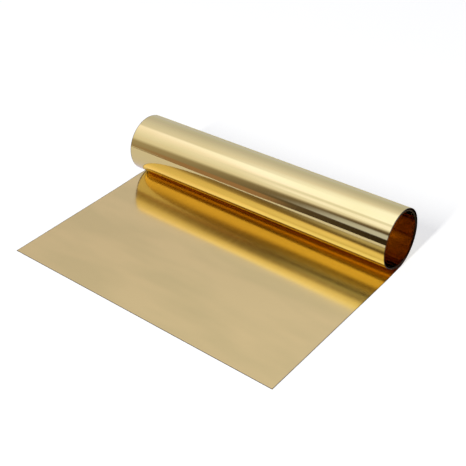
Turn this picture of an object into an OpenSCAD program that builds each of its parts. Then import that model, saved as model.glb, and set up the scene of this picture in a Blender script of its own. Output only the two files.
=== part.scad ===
// Roll of brass sheet: one thin rectangular sheet, wound into an open roll,
// with its last stretch lying flat in front of the roll.
// From the flat end the sheet turns up behind the roll, goes over the top and
// down the front, closes on the flat end, and goes on inside as a tighter coil.
// The roll's axis runs along X, the flat end points to -Y and Z is up.
// The origin is on the floor, below the middle of the whole piece.

/* [Sheet] */
// Width of the sheet, along the roll's axis
sheet_w = 300; // [100:1:600]
// Whole length of the sheet, as it measures when laid out flat
sheet_l = 1000; // [650:5:1500]
// Thickness of the sheet
sheet_t = 0.2; // [0.1:0.01:0.3]

/* [Roll] */
// Outside diameter of the outermost turn, which has sprung open a little
roll_d = 58; // [45:1:90]
// Free height between the top of the outermost turn and the coil inside it
loose_gap = 2.6; // [0.3:0.1:6]
// Clearance between the turns of the inner coil, and below it on the flat end
turn_gap = 0.1; // [0.1:0.01:0.3]

/* [Flat end] */
// Length left flat, from the cut edge to the line where the roll's curve begins
flat_l = 187; // [60:1:300]

/* [Hidden] */

// Shortest bend worth winding at the inner end of the sheet
least_bend_l = 0.5;

roll_r = roll_d / 2;
turn_pitch = sheet_t + turn_gap;

// The inner coil stands on the flat end and leaves loose_gap at the top
coil_r = roll_r - (sheet_t + turn_pitch + loose_gap) / 2;
coil_z = turn_pitch + coil_r;

// The roll's axis sits so that the whole piece is centred front to back
axis_y = (flat_l - roll_r) / 2;

$fn = 180;

// A coil begins at its lowest line with a quarter turn, bend 0, and goes on in
// half turns. Each bend is half a pitch tighter than the one before it, and the
// upper half turns are centred half a pitch further back, so that every bend
// starts exactly where the last one ended.
function bend_r(coil, k) = coil - k * turn_pitch / 2;
function bend_y(k) = (k % 2 == 1) ? turn_pitch / 2 : 0;
function bend_from(k) = (k == 0) ? 270 : (k - 1) * 180;
function full_sweep(k) = (k == 0) ? 90 : 180;

// Length of sheet in a bend, measured at the middle of its thickness
function bend_l(r, sweep) = (r - sheet_t / 2) * sweep * PI / 180;

// The outermost turn stops where it comes back to the roll's lowest line
outer_sweeps = [90, 180, 90];
outer_l =
    bend_l(bend_r(roll_r, 0), outer_sweeps[0]) +
    bend_l(bend_r(roll_r, 1), outer_sweeps[1]) +
    bend_l(bend_r(roll_r, 2), outer_sweeps[2]);

// Length of sheet used before bend k of the inner coil
function used_l(k) = (k == 0)
    ? flat_l + outer_l
    : used_l(k - 1) + bend_l(bend_r(coil_r, k - 1), full_sweep(k - 1));

// The inner coil's bends: whole ones, then what the sheet still has at its end
inner_sweeps = [
    for (k = 0; used_l(k) < sheet_l - least_bend_l; k = k + 1)
        min(full_sweep(k), (sheet_l - used_l(k)) / bend_l(bend_r(coil_r, k), 1))
];

// A stretch of sheet bent to outer radius r, from one angle round by sweep
module bend(r, from, sweep) {
    rotate(from)
        rotate_extrude(angle = sweep)
            translate([r - sheet_t, 0])
                square([sheet_t, sheet_w]);
}

module coil(r, sweeps) {
    for (k = [0 : len(sweeps) - 1])
        translate([bend_y(k), 0, 0])
            bend(bend_r(r, k), bend_from(k), sweeps[k]);
}

// The sheet drawn with its section in XY and its width along Z. The floor is
// at Y = 0, and the line where the roll's curve begins is at X = 0.
module wound_sheet() {
    translate([-flat_l, 0, 0])
        cube([flat_l, sheet_t, sheet_w]);
    translate([0, roll_r, 0])
        coil(roll_r, outer_sweeps);
    translate([0, coil_z, 0])
        coil(coil_r, inner_sweeps);
}

module brass_sheet() {
    color("#c9ae72")
        translate([-sheet_w / 2, axis_y, 0])
            rotate([90, 0, 90])
                wound_sheet();
}

brass_sheet();
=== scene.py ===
# A roll of thin brass sheet, its last stretch lying flat in front of it.
# Lengths are in metres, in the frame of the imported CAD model.
import bpy
import math
import numpy as np
from mathutils import Matrix, Vector


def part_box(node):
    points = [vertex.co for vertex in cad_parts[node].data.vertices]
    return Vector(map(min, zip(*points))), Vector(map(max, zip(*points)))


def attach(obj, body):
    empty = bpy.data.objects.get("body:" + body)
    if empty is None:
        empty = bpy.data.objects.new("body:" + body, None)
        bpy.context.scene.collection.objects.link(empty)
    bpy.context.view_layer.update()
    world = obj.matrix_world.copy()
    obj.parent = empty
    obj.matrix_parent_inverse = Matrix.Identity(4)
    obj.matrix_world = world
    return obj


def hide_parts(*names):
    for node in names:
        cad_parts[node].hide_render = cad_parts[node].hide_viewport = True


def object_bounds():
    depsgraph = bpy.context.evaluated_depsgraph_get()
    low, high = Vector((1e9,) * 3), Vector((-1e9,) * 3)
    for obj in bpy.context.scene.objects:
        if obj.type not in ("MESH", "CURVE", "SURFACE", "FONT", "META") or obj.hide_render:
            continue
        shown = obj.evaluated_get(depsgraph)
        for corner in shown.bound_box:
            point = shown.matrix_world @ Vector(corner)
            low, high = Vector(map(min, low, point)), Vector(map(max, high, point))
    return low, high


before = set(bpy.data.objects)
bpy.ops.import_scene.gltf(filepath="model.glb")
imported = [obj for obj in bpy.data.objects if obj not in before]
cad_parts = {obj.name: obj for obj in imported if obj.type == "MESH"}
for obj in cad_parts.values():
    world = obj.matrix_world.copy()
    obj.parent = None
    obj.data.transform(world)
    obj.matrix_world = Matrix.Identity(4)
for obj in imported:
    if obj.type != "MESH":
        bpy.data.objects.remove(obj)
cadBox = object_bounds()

mm = 0.001
perMetre = 1000


def linear(hexColour):
    # sRGB hex to linear light, with alpha 1
    parts = [int(hexColour[i:i + 2], 16) / 255 for i in (1, 3, 5)]
    return [p / 12.92 if p <= 0.04045 else ((p + 0.055) / 1.055) ** 2.4 for p in parts] + [1.0]


def smoothStep(share):
    # from 0 to 1 with a level start and end: t * t * (3 - 2 * t), t held between 0 and 1
    t = np.clip(share, 0, 1)
    return t * t * (3 - 2 * t)


def wayTo(azimuth, elevation):
    # unit vector towards a camera or a lamp, from angles in degrees: azimuth from -Y
    # towards +X, elevation above the floor
    a, e = math.radians(azimuth), math.radians(elevation)
    return Vector((math.sin(a) * math.cos(e), -math.cos(a) * math.cos(e), math.sin(e)))


def addObject(name, data):
    made = bpy.data.objects.new(name, data)
    bpy.context.scene.collection.objects.link(made)
    return made


def newMaterial(name):
    # an empty material, and its node tree
    material = bpy.data.materials.new(name)
    material.use_nodes = True
    material.node_tree.nodes.clear()
    return material, material.node_tree


def addNode(tree, kind, settings=None, inputs=None):
    # one node: settings are its own properties, inputs are sockets by name or number,
    # each given a value or another node's output to link
    node = tree.nodes.new(kind)
    for name, value in (settings or {}).items():
        setattr(node, name, value)
    for key, value in (inputs or {}).items():
        if isinstance(value, bpy.types.NodeSocket):
            tree.links.new(value, node.inputs[key])
        else:
            node.inputs[key].default_value = value
    return node


def addMath(tree, operation, first, second=0.0):
    settings = {"operation": operation}
    return addNode(tree, "ShaderNodeMath", settings, {0: first, 1: second}).outputs[0]


def addRange(tree, value, start, end, low=0.0, high=1.0, shape="LINEAR"):
    # low where the value is at start, high where it is at end, and the same beyond them
    inputs = {"Value": value, "From Min": start, "From Max": end, "To Min": low, "To Max": high}
    return addNode(tree, "ShaderNodeMapRange", {"interpolation_type": shape}, inputs).outputs[0]


def addBlend(tree, share, first, second):
    # of two numbers: the first where share is 0, the second where it is 1
    return addNode(tree, "ShaderNodeMix", None, {0: share, 2: first, 3: second}).outputs[0]


def addMix(tree, share, first, second, label=""):
    # the same of two colours
    settings = {"data_type": "RGBA", "label": label}
    return addNode(tree, "ShaderNodeMix", settings, {0: share, 6: first, 7: second}).outputs[2]


# Camera, at the photograph's viewing angle
camera = {
    "target": (-3.51 * mm, 34.9 * mm, 0.2 * mm),
    "azimuth": 40.09,    # degrees, from looking along +Y towards looking along -X
    "elevation": 35.5,   # degrees above the floor
    "roll": -2.06,       # degrees
    "distance": 878.41 * mm,
    "lens": 71.31,       # mm, on a sensor of this width
    "sensor": 36,
    "clip": (0.02, 50),
}


def makeCamera():
    back = wayTo(camera["azimuth"], camera["elevation"])
    a, r = math.radians(camera["azimuth"]), math.radians(camera["roll"])
    level = Vector((math.cos(a), math.sin(a), 0))
    upright = back.cross(level)
    right = level * math.cos(r) + upright * math.sin(r)
    up = upright * math.cos(r) - level * math.sin(r)
    place = Matrix((right, up, back)).transposed().to_4x4()
    place.translation = Vector(camera["target"]) + back * camera["distance"]
    data = bpy.data.cameras.new("studioCamera")
    data.lens, data.sensor_width = camera["lens"], camera["sensor"]
    data.clip_start, data.clip_end = camera["clip"]
    eye = addObject("studioCamera", data)
    eye.matrix_world = place
    bpy.context.scene.camera = eye


makeCamera()
print("camera placed")


# The sheet. Where two values are given they are for its -X and its +X side, and
# the sheet changes evenly from one to the other.
sheet = {
    "gauge": 0.2 * mm,
    "gap": 0.1 * mm,        # between the turns of the inner coil
    "looseGap": 1.8 * mm,   # free height above the inner coil, inside the outermost turn
    "length": 1000 * mm,    # developed
    "halfWidth": (29.0 * mm, 28.1 * mm),      # of the roll's section, front to back
    "halfHeight": (29.45 * mm, 31.15 * mm),   # and bottom to top
    "axisShift": (0.3 * mm, 1.45 * mm),       # of the roll, backwards
    "undercut": (0.15 * mm, 2.95 * mm),       # the turns' lower front lies up to this far in
    "undercutOver": (190, 306),   # degrees
    "undercutAfter": 0.5,      # turns
    "restsAt": 260,            # degrees; where the inner coil lies against the outermost turn
    "restsAfter": 0.25,        # turns of its own
    "telescope": 0.9 * mm,     # how far the inner coil stands out at the -X end
    "telescopesIn": 0.5,       # turns of its own
    "wave": 0.3 * mm,          # height of the slow waves in the flat end
    "waveEnds": 50 * mm,       # distance from the roll at which they have died away
    "waveFade": 70 * mm,       # and how much further out they have their full height
    "swellFade": 20 * mm,      # the same for the swells, from the roll out
    "sideways": (1.1 * mm, 0.6 * mm),   # how far the flat end's sides lie towards +X
    "sidewaysOver": (187 * mm, 20 * mm),   # and over what length from the roll they get there
    "forwards": 0.2 * mm,      # how far the front cut edge lies beyond the CAD box
    "innerU": 500 * mm,        # from the outer face to the inner face in the UV map
    "columns": 41,
    "flatRows": 76,
    "turnRows": 140,
    "mostTurns": 6,            # enough for the whole length
}

# Slow waves in the flat end: how much X and how much Y count, the length of one
# radian in mm, the phase in radians, and the height as a share
waves = [
    (0.35, 1, 31, 0.4, 1),
    (1, -0.5, 44, 1.9, 0.7),
    (0.8, 1.3, 21, 3.0, 0.5),
]

# Low swells in the flat end: middle X and Y, height, and spread along X and Y, all in mm
swells = [
    (10, 10, 0.38, 120, 14),
    (0, 60, 0.2, 200, 15),
    (-150, 56, 0.42, 40, 20),
    (40, -94, 0.12, 90, 22),
]


def flatHeight(x, y, rollY):
    # Height of the flat end: the sum of the sine waves, raised so that the lowest is
    # at 0, which dies away towards the roll, plus each swell's height times
    # exp(-(dx / spread)^2 - (dy / spread)^2), which ends where the roll begins.
    most = sum(wave[-1] for wave in waves)
    slow = sum(
        share * np.sin((x * alongX + y * alongY) / (radian * mm) + phase)
        for alongX, alongY, radian, phase, share in waves)
    low = sum(
        height * np.exp(-((x / mm - midX) / wideX) ** 2 - ((y / mm - midY) / wideY) ** 2)
        for midX, midY, height, wideX, wideY in swells)
    free = smoothStep((rollY - sheet["waveEnds"] - y) / sheet["waveFade"])
    ending = np.clip((rollY - y) / sheet["swellFade"], 0, 1)
    return free * sheet["wave"] * (slow + most) / (2 * most) + low * mm * ending


def sheetSurface(low, high):
    # The sheet's outer face as a grid of points and normals, rows along its length
    # and columns across its width, and each row's distance from the front cut edge.
    # Flat end: straight along Y. Roll: a spiral of half width a and half height b,
    # at angle 270 degrees + 360 per turn, that shrinks by one pitch in each turn.
    # After the first turn it goes on smaller by half of the loose gap, gauge and
    # pitch. It stands on the flat there, and its middle then moves round so that it
    # comes to rest against the outermost turn. Once past the first half turn, the
    # undercut moves the points inwards by depth * sin(pi * u)^2, u going from 0 to 1
    # between its two angles. The flat end's points move sideways by a share of their
    # distance from the roll.
    gauge, pitch = sheet["gauge"], sheet["gauge"] + sheet["gap"]
    radius = (high.z - low.z) / 2
    coilDrop = (sheet["looseGap"] + gauge + pitch) / 2
    x = np.linspace(low.x, high.x, sheet["columns"])[None, :]
    side = (x - low.x) / (high.x - low.x)
    sided = ("halfWidth", "halfHeight", "axisShift", "undercut", "sideways", "sidewaysOver")
    a, b, shift, depth, sideways, sideOver = (
        sheet[name][0] + (sheet[name][1] - sheet[name][0]) * side for name in sided)
    front = low.y
    rollY = high.y - radius + shift

    # how far each row lies along the sheet, and the rows that the sheet is long enough for
    turn = np.linspace(0, sheet["mostTurns"], sheet["mostTurns"] * sheet["turnRows"] + 1)
    shrink = np.where(turn > 1, coilDrop + pitch * (turn - 1), pitch * turn)
    run = 2 * np.pi * (radius - shrink - gauge / 2) * np.gradient(turn)
    flatLength = high.y - radius - front
    along = flatLength + np.concatenate([[0], np.cumsum(run[1:])])
    keep = along < sheet["length"]
    turn, drop, along = turn[keep, None], shrink[keep, None], along[keep]

    angle = 1.5 * np.pi + 2 * np.pi * turn
    settled = smoothStep((turn - 1) / sheet["restsAfter"])
    rest = np.radians(270 + (sheet["restsAt"] - 270) * settled)
    offset = np.where(turn > 1, coilDrop - pitch, 0)
    rollPoints = np.stack([
        x - sheet["telescope"] * np.clip((turn - 1) / sheet["telescopesIn"], 0, 1),
        rollY + offset * np.cos(rest) + (a - drop) * np.cos(angle),
        b + offset * np.sin(rest) + (b - drop) * np.sin(angle),
    ], -1)
    rollNormals = np.stack([
        0 * angle * x, np.cos(angle) / (a - drop), np.sin(angle) / (b - drop)], -1)
    rollNormals /= np.linalg.norm(rollNormals, axis=-1, keepdims=True)
    start, end = sheet["undercutOver"]
    part = np.clip((np.degrees(angle) % 360 - start) / (end - start), 0, 1)
    part = np.where(turn > sheet["undercutAfter"], part, 0)
    rollPoints -= (depth * np.sin(np.pi * part) ** 2)[..., None] * rollNormals

    flatStep = np.linspace(0, 1, sheet["flatRows"] + 1)[:-1, None]
    flatX = x + sideways * np.clip((rollY - front) * (1 - flatStep) / sideOver, 0, 1)
    flatY = front - sheet["forwards"] + (rollY - front + sheet["forwards"]) * flatStep
    flatPoints = np.stack([flatX, flatY, flatHeight(flatX, flatY, rollY)], -1)
    flatNormals = np.zeros_like(flatPoints)
    flatNormals[..., 2] = -1

    points = np.concatenate([flatPoints, rollPoints])
    normals = np.concatenate([flatNormals, rollNormals])
    return points, normals, np.concatenate([flatLength * flatStep[:, 0], along])


def makeSheet():
    # One closed skin: the outer face's grid, the same grid moved inwards by the gauge
    # along its normals, and four strips of faces that join the two along their border.
    low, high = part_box("brass_sheet")
    outer, normals, along = sheetSurface(low, high)
    inner = outer - normals * sheet["gauge"]
    rows, columns = outer.shape[:2]
    count = rows * columns
    o, n = np.arange(2 * count).reshape(2, rows, columns)
    quads = [
        np.stack([o[:-1, :-1], o[:-1, 1:], o[1:, 1:], o[1:, :-1]], -1),   # outer face
        np.stack([n[:-1, :-1], n[1:, :-1], n[1:, 1:], n[:-1, 1:]], -1),   # inner face
        np.stack([o[:-1, 0], o[1:, 0], n[1:, 0], n[:-1, 0]], -1),         # edge at -X
        np.stack([o[:-1, -1], n[:-1, -1], n[1:, -1], o[1:, -1]], -1),     # edge at +X
        np.stack([o[0, :-1], n[0, :-1], n[0, 1:], o[0, 1:]], -1),         # front cut edge
        np.stack([o[-1, :-1], o[-1, 1:], n[-1, 1:], n[-1, :-1]], -1),     # inner cut edge
    ]
    faces = np.concatenate([q.reshape(-1, 4) for q in quads])
    points = np.concatenate([outer.reshape(-1, 3), inner.reshape(-1, 3)])
    # six times the volume is each triangle's a . (b x c), and is negative inside out
    corners = [points[faces[:, i]] for i in range(4)]
    volume = sum(
        np.einsum("ij,ij->i", corners[0], np.cross(corners[i], corners[i + 1])).sum()
        for i in (1, 2)) / 6
    if volume < 0:
        faces = faces[:, ::-1]

    mesh = bpy.data.meshes.new("brassSheet")
    mesh.vertices.add(len(points))
    mesh.vertices.foreach_set("co", points.ravel())
    mesh.loops.add(faces.size)
    mesh.loops.foreach_set("vertex_index", faces.ravel().astype(np.int32))
    mesh.polygons.add(len(faces))
    mesh.polygons.foreach_set("loop_start", np.arange(0, faces.size, 4, dtype=np.int32))
    cut = np.arange(len(faces)) >= 2 * (rows - 1) * (columns - 1)
    mesh.polygons.foreach_set("material_index", cut.astype(np.int32))
    mesh.polygons.foreach_set("use_smooth", ~cut)
    mesh.update(calc_edges=True)

    # sharp edges are the ones round the border of either face
    ends = np.zeros(len(mesh.edges) * 2, np.int32)
    mesh.edges.foreach_get("vertices", ends)
    ends = ends.reshape(-1, 2)
    border = np.zeros(len(ends), bool)
    for line, last in ((ends % count // columns, rows - 1), (ends % columns, columns - 1)):
        border |= (line[:, 0] == line[:, 1]) & np.isin(line[:, 0], (0, last))
    mesh.attributes.new("sharp_edge", "BOOLEAN", "EDGE").data.foreach_set("value", border)

    # UV map: U across the sheet and V along it, both in metres, with the inner face
    # further along U
    u = np.tile(np.linspace(0, high.x - low.x, columns), rows)
    v = np.repeat(along, columns)
    laidOut = np.stack([np.concatenate([u, u + sheet["innerU"]]), np.concatenate([v, v])], -1)
    layer = mesh.uv_layers.new(name="sheetUv")
    layer.uv.foreach_set("vector", laidOut[faces.ravel()].astype(np.float32).ravel())
    print("sheet made:", len(faces) * 2, "triangles, volume", round(abs(volume) / mm ** 3), "mm3")
    return addObject("brassSheet", mesh)


# Cold-rolled brass sheet: bright metal with a faint grain along its length, left by
# the rolls. The eye gets mirror-like bands on the roll, softened more across the
# grain than along it, and a warm colour that deepens with each reflection. The
# flat end's upper face, which has been rubbed, is duller than the rest, and the face
# inside the roll is paler.
rolledBrass = {
    "bright": ("#EFDA85", "#EBD67F"),   # the lighter and the darker patches
    "dull": ("#F4D782", "#EAD07D"),     # the same on the flat end's upper face
    "bore": ("#F1E5B3", "#EFE2AE"),     # and inside the roll
    "patch": (110, 32),        # mm across and along the sheet
    "patchContrast": (0.35, 0.65),      # the noise that is all lighter and all darker
    "edgeShade": "#6E6044",     # painted shade: a dark outline along the border, for the shade at an edge the shears rolled over
    "edgeShadeWidth": 0.5 * mm,
    "roughnessBright": 0.06,
    "roughnessDull": 0.135,
    "roughnessBore": 0.045,
    "dullTo": (190 * mm, 260 * mm),     # from the front edge, where the dull face ends
    "roughnessChange": 0.02,   # more or less, with the grain
    "anisotropic": 0.4,
    "anisotropicTurn": 0.25,   # turns, from the tangent to the grain
    "grain": (1.6, 90),        # mm; the real grain is about 0.1 mm wide and would not show
    "grainContrast": (0.3, 0.7),
    "grainDepth": 0.003 * mm,
}


def makeRolledBrass():
    material, tree = newMaterial("rolledBrass")
    uv = addNode(tree, "ShaderNodeUVMap", {"uv_map": "sheetUv"}).outputs[0]
    split = addNode(tree, "ShaderNodeSeparateXYZ", None, {0: uv})
    across, along = split.outputs["X"], split.outputs["Y"]

    def noise(size, inputs):
        scale = (perMetre / size[0], perMetre / size[1], 1)
        place = addNode(tree, "ShaderNodeMapping", None, {"Vector": uv, "Scale": scale})
        return addNode(tree, "ShaderNodeTexNoise", {"noise_dimensions": "2D"}, {
            "Vector": place.outputs[0], "Scale": 1.0, **inputs}).outputs["Fac"]

    grain = noise(rolledBrass["grain"], {"Detail": 3.0, "Roughness": 0.6})
    patch = noise(rolledBrass["patch"], {"Detail": 2.0})
    patch = addRange(tree, patch, *rolledBrass["patchContrast"])

    # where: inside the sheet's curl, on the flat end's upper face, and along the border, which has
    # painted shade
    width = cadBox[1][0] - cadBox[0][0]
    innerFace = addMath(tree, "GREATER_THAN", across, (width + sheet["innerU"]) / 2)
    dull = addRange(tree, along, *rolledBrass["dullTo"], 1.0, 0.0)
    dull = addMath(tree, "MULTIPLY", innerFace, dull)
    fromSide = addMath(tree, "MODULO", across, sheet["innerU"])
    fromSide = addMath(tree, "PINGPONG", fromSide, width / 2)
    atSide = addMath(tree, "LESS_THAN", fromSide, rolledBrass["edgeShadeWidth"])
    atFront = addMath(tree, "LESS_THAN", along, rolledBrass["edgeShadeWidth"])
    border = addMath(tree, "MAXIMUM", atSide, atFront)

    bright, bore, rubbed = (
        addMix(tree, patch, *(linear(tone) for tone in rolledBrass[name]))
        for name in ("bright", "bore", "dull"))
    colour = addMix(tree, innerFace, bright, bore)
    colour = addMix(tree, dull, colour, rubbed)
    # painted shade: a thin dark strip along the border, standing in for the edge in shade
    colour = addMix(tree, border, colour, linear(rolledBrass["edgeShade"]))

    rough = addBlend(tree, innerFace, rolledBrass["roughnessBright"], rolledBrass["roughnessBore"])
    rough = addBlend(tree, dull, rough, rolledBrass["roughnessDull"])
    most = rolledBrass["roughnessChange"]
    change = addRange(tree, grain, *rolledBrass["grainContrast"], -most, most)
    rough = addMath(tree, "ADD", rough, change)

    bump = addNode(tree, "ShaderNodeBump", None, {
        "Height": grain, "Distance": rolledBrass["grainDepth"], "Strength": 1.0})
    tangent = addNode(tree, "ShaderNodeTangent", {"direction_type": "UV_MAP", "uv_map": "sheetUv"})
    shader = addNode(tree, "ShaderNodeBsdfPrincipled", None, {
        "Base Color": colour, "Metallic": 1.0, "Roughness": rough,
        "Anisotropic": rolledBrass["anisotropic"],
        "Anisotropic Rotation": rolledBrass["anisotropicTurn"],
        "Tangent": tangent.outputs[0], "Normal": bump.outputs[0]})
    addNode(tree, "ShaderNodeOutputMaterial", None, {"Surface": shader.outputs[0]})
    return material


# The sheet's sheared edges: a dull, slightly burred cut through the same metal, in a
# dark brown that is painted shade. The eye gets a thin dark outline.
shadedShearedEdge = {
    # painted shade: darker than the brass it is cut from
    "colour": "#4C3414",
    "roughness": (0.35, 0.55),
    "burr": 900.0,   # per metre, a burr in a little over a millimetre
}


def makeShearedEdge():
    material, tree = newMaterial("shadedShearedBrass")
    place = addNode(tree, "ShaderNodeTexCoord").outputs["Object"]
    burr = addNode(tree, "ShaderNodeTexNoise", None, {
        "Vector": place, "Scale": shadedShearedEdge["burr"], "Detail": 2.0}).outputs["Fac"]
    rough = addRange(tree, burr, 0.0, 1.0, *shadedShearedEdge["roughness"])
    shader = addNode(tree, "ShaderNodeBsdfPrincipled", None, {
        "Base Color": linear(shadedShearedEdge["colour"]), "Metallic": 1.0, "Roughness": rough})
    addNode(tree, "ShaderNodeOutputMaterial", None, {"Surface": shader.outputs[0]})
    return material


brassSheet = makeSheet()
brassSheet.data.materials.append(makeRolledBrass())
brassSheet.data.materials.append(makeShearedEdge())
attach(brassSheet, "root")
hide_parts("brass_sheet")
print("materials made")


# The studio: a pale floor that ends a little in front of the sheet, and a dome
studio = {
    "floorFront": -330 * mm,
    "floorBack": 900 * mm,
    "floorSide": 700 * mm,
    "notch": (-385 * mm, -122 * mm, -166 * mm),   # in the floor's front: from X, to X, and to Y
    "floorColour": "#E8E8E1",
    "cameraLift": 0.61,   # emission of the floor for camera rays: white where unshadowed
    "frontLift": "#8681C4",   # and for reflections: cool in front of the roll, by the window,
    "backLift": "#767050",    # and warm behind it
    "liftEnds": (60 * mm, 100 * mm),   # Y at which one passes into the other
    "ambient": 0.12,      # the soft light that falls on matt surfaces from all over
}


def seenDirectly(tree, ray):
    # 1 for what the camera sees itself or through something clear, 0 for the rest
    direct, through = ray.outputs["Is Camera Ray"], ray.outputs["Is Transmission Ray"]
    return addMath(tree, "MAXIMUM", direct, through)


def makeFloor():
    # A matt pale floor, with emission of its own for camera rays and for reflections.
    # The eye gets plain white around the sheet, with the roll's soft shadow on it.
    x, y0, y1 = studio["floorSide"], studio["floorFront"], studio["floorBack"]
    left, right, back = studio["notch"]
    outline = [
        (-x, y0), (left, y0), (left, back), (right, back), (right, y0), (x, y0), (x, y1), (-x, y1)]
    mesh = bpy.data.meshes.new("studioFloor")
    mesh.from_pydata([(*corner, 0) for corner in outline], [], [list(range(len(outline)))])
    floor = addObject("studioFloor", mesh)

    material, tree = newMaterial("paleFloor")
    ray = addNode(tree, "ShaderNodeLightPath")
    lift = addMath(tree, "MULTIPLY", seenDirectly(tree, ray), studio["cameraLift"])
    glow = addNode(tree, "ShaderNodeEmission", None, {"Strength": lift})
    place = addNode(tree, "ShaderNodeTexCoord").outputs["Object"]
    place = addNode(tree, "ShaderNodeSeparateXYZ", None, {0: place}).outputs["Y"]
    behind = addRange(tree, place, *studio["liftEnds"])
    tint = addMix(tree, behind, linear(studio["frontLift"]), linear(studio["backLift"]))
    mirrored = addNode(tree, "ShaderNodeEmission", None, {
        "Color": tint, "Strength": ray.outputs["Is Glossy Ray"]})
    matt = addNode(tree, "ShaderNodeBsdfDiffuse", None, {"Color": linear(studio["floorColour"])})
    total = addNode(tree, "ShaderNodeAddShader", None, {0: glow.outputs[0], 1: mirrored.outputs[0]})
    total = addNode(tree, "ShaderNodeAddShader", None, {0: total.outputs[0], 1: matt.outputs[0]})
    addNode(tree, "ShaderNodeOutputMaterial", None, {"Surface": total.outputs[0]})
    mesh.materials.append(material)


makeFloor()

# Dome light. Its colours are written for this strength.
domeStrength = 2.6

# Two ramps by elevation in degrees: the room behind, with a ceiling light, and the
# wall in front and to the left, which is brighter above its lower edge
roomRamp = [
    (-90, "#898CA7"), (-6, "#84879E"), (0, "#81849A"), (20, "#81849A"), (27, "#8183A0"),
    (35, "#8787A7"), (40, "#8A8CAD"), (48, "#9394B9"), (54, "#9C9CC3"), (58, "#A6AADA"),
    (61, "#AEB4E7"), (64, "#B4BCF6")]
wallRamp = [
    (-90, "#898394"), (26, "#9796B0"), (31, "#9B99B8"), (35, "#9D9EC1"), (41, "#A3A4CB"),
    (45, "#A8A8D4"), (49, "#AEADDD"), (53, "#B5B8F1"), (57, "#B5BDF6")]

# Azimuth is from -Y towards +X and elevation from the horizon, both in degrees. A
# soft edge goes from nothing at its first number to full strength at its second.
wallLeft, wallRight = (-96, -84), (80, 60)

# Soft-edged panels, laid over the dome in this order. Lean tilts a panel's upper and
# lower side about leanFrom, in degrees of elevation for each degree of azimuth.
leanFrom = -42
panels = [
    {"name": "high softbox", "left": (-45, -40), "right": (75, 60),
     "bottom": (37, 42), "top": (51, 48), "lean": 0, "colour": "#B0B4E7"},
    {"name": "seam", "left": (-56, -48), "right": (75, 60),
     "bottom": (45.5, 49.5), "top": (60, 55), "lean": 0.5, "colour": "#9EA1C8"},
    {"name": "lower wall", "left": (-98, -86), "right": (75, 60),
     "bottom": (-100, -99), "top": (27.5, 12.5), "lean": 0.9, "colour": "#6E676B"},
    {"name": "dark corner", "left": (-43, -26), "right": (75, 60),
     "bottom": (-100, -99), "top": (28, 14.5), "lean": 0.9, "colour": "#3B3230"},
    {"name": "below the bench top", "left": (-32, -22), "right": (75, 60),
     "bottom": (-100, -99), "top": (12, 5), "lean": 0.3, "colour": "#1D1714"},
    {"name": "bench", "left": (-41, -35), "right": (-28, -31),
     "bottom": (-12, -9), "top": (6, 3), "lean": 0, "colour": "#654F4A"},
    {"name": "window", "left": (-32, -25), "right": (-8, -12),
     "bottom": (9.5, 12.5), "top": (27, 21), "lean": 0, "colour": "#8186B0"},
]


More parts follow.
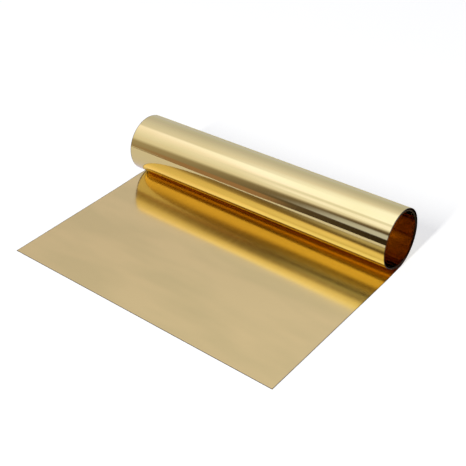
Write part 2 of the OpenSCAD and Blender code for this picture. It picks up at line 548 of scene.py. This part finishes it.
def makeDome():
    world = bpy.data.worlds.new("studioDome")
    bpy.context.scene.world = world
    world.use_nodes = True
    tree = world.node_tree
    tree.nodes.clear()

    def softStep(value, start, end):
        # 0 before start, 1 after end; start above end turns it round
        low, high = (0.0, 1.0) if end > start else (1.0, 0.0)
        return addRange(tree, value, min(start, end), max(start, end), low, high, "SMOOTHSTEP")

    def ramp(share, steps):
        node = addNode(tree, "ShaderNodeValToRGB", None, {"Fac": share})
        stops = node.color_ramp.elements
        while len(stops) < len(steps):
            stops.new(1.0)
        for stop, (angle, colour) in zip(stops, steps):
            stop.position = (angle + 90) / 180
            stop.color = linear(colour)
        return node.outputs["Color"]

    degrees = 180 / math.pi
    place = addNode(tree, "ShaderNodeTexCoord").outputs["Generated"]
    way = addNode(tree, "ShaderNodeSeparateXYZ", None, {0: place})
    ahead = addMath(tree, "MULTIPLY", way.outputs["Y"], -1.0)
    azimuth = addMath(tree, "ARCTAN2", way.outputs["X"], ahead)
    azimuth = addMath(tree, "MULTIPLY", azimuth, degrees)
    elevation = addMath(tree, "MULTIPLY", addMath(tree, "ARCSINE", way.outputs["Z"]), degrees)
    share = addMath(tree, "DIVIDE", addMath(tree, "ADD", elevation, 90.0), 180.0)
    wall = addMath(tree, "MULTIPLY", softStep(azimuth, *wallLeft), softStep(azimuth, *wallRight))
    colour = addMix(tree, wall, ramp(share, roomRamp), ramp(share, wallRamp), "wall")
    for panel in panels:
        lean = addMath(tree, "SUBTRACT", azimuth, leanFrom)
        lean = addMath(tree, "MULTIPLY", lean, panel["lean"])
        tilted = addMath(tree, "SUBTRACT", elevation, lean)
        mask = softStep(azimuth, *panel["left"])
        mask = addMath(tree, "MULTIPLY", mask, softStep(azimuth, *panel["right"]))
        mask = addMath(tree, "MULTIPLY", mask, softStep(tilted, *panel["bottom"]))
        mask = addMath(tree, "MULTIPLY", mask, softStep(tilted, *panel["top"]))
        colour = addMix(tree, mask, colour, linear(panel["colour"]), panel["name"])

    # reflections see the dome, matt surfaces the ambient light, and the camera white
    def background(tone, strength):
        return addNode(tree, "ShaderNodeBackground", None, {
            "Color": tone, "Strength": strength}).outputs[0]

    ray = addNode(tree, "ShaderNodeLightPath")
    white = (1, 1, 1, 1)
    room = addNode(tree, "ShaderNodeMixShader", None, {
        0: ray.outputs["Is Diffuse Ray"],
        1: background(colour, domeStrength), 2: background(white, studio["ambient"])})
    both = addNode(tree, "ShaderNodeMixShader", None, {
        0: seenDirectly(tree, ray), 1: room.outputs[0], 2: background(white, 1.0)})
    addNode(tree, "ShaderNodeOutputWorld", None, {"Surface": both.outputs[0]})


makeDome()

# A tall soft light in front, which throws the roll's shadow behind it
keyLight = {
    "power": 130.0,
    "width": 0.3,
    "height": 1.8,
    "aim": (0, 80 * mm, 0),
    "distance": 4.5,
    "azimuth": 2.9,     # degrees, from -Y towards +X
    "elevation": 35,    # degrees
}


def makeKeyLight():
    data = bpy.data.lights.new("keyLight", "AREA")
    data.shape = "RECTANGLE"
    data.size, data.size_y, data.energy = keyLight["width"], keyLight["height"], keyLight["power"]
    lamp = addObject("keyLight", data)
    back = wayTo(keyLight["azimuth"], keyLight["elevation"])
    place = Matrix.Translation(Vector(keyLight["aim"]) + back * keyLight["distance"])
    lamp.matrix_world = place @ back.to_track_quat("Z", "Y").to_matrix().to_4x4()
    lamp.visible_camera = lamp.visible_glossy = False


makeKeyLight()

# Light leaves the bore only after many reflections
mostBounces = 24
scene = bpy.context.scene
scene.view_settings.view_transform = "Standard"
scene.cycles.max_bounces = scene.cycles.glossy_bounces = mostBounces
print("studio made")
